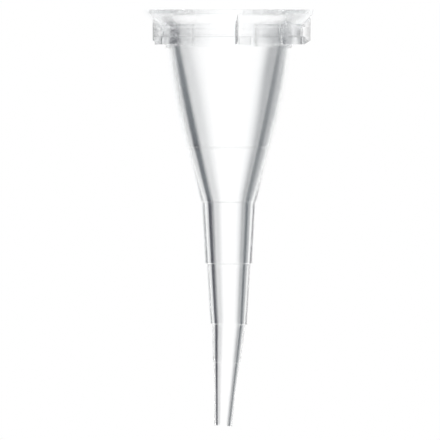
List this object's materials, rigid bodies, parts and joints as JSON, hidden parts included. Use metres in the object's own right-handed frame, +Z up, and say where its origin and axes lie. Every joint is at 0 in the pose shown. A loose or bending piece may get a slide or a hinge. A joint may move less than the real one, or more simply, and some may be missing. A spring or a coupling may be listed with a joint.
{
  "type": "pipette tip",
  "caption": "Clear tapered pipette tip with a flared ribbed collar, a press-fit nozzle socket and a stepped, graduated body that narrows to a fine open point.",
  "frame": {"origin": "on the axis, where the straight sealing land of the nozzle socket begins below its tapered lead-in", "axes": "+Z up out of the mouth along the axis, the point hangs down; -Y is the front, and the point leans slightly to -X"},
  "size_m": [0.013, 0.013, 0.0315],
  "materials": {
    "clear_polypropylene": "clear, colourless, polished moulded polypropylene"
  },
  "bodies": {
    "root": {"pipette_tip": "clear_polypropylene"}
  },
  "joints": []
}
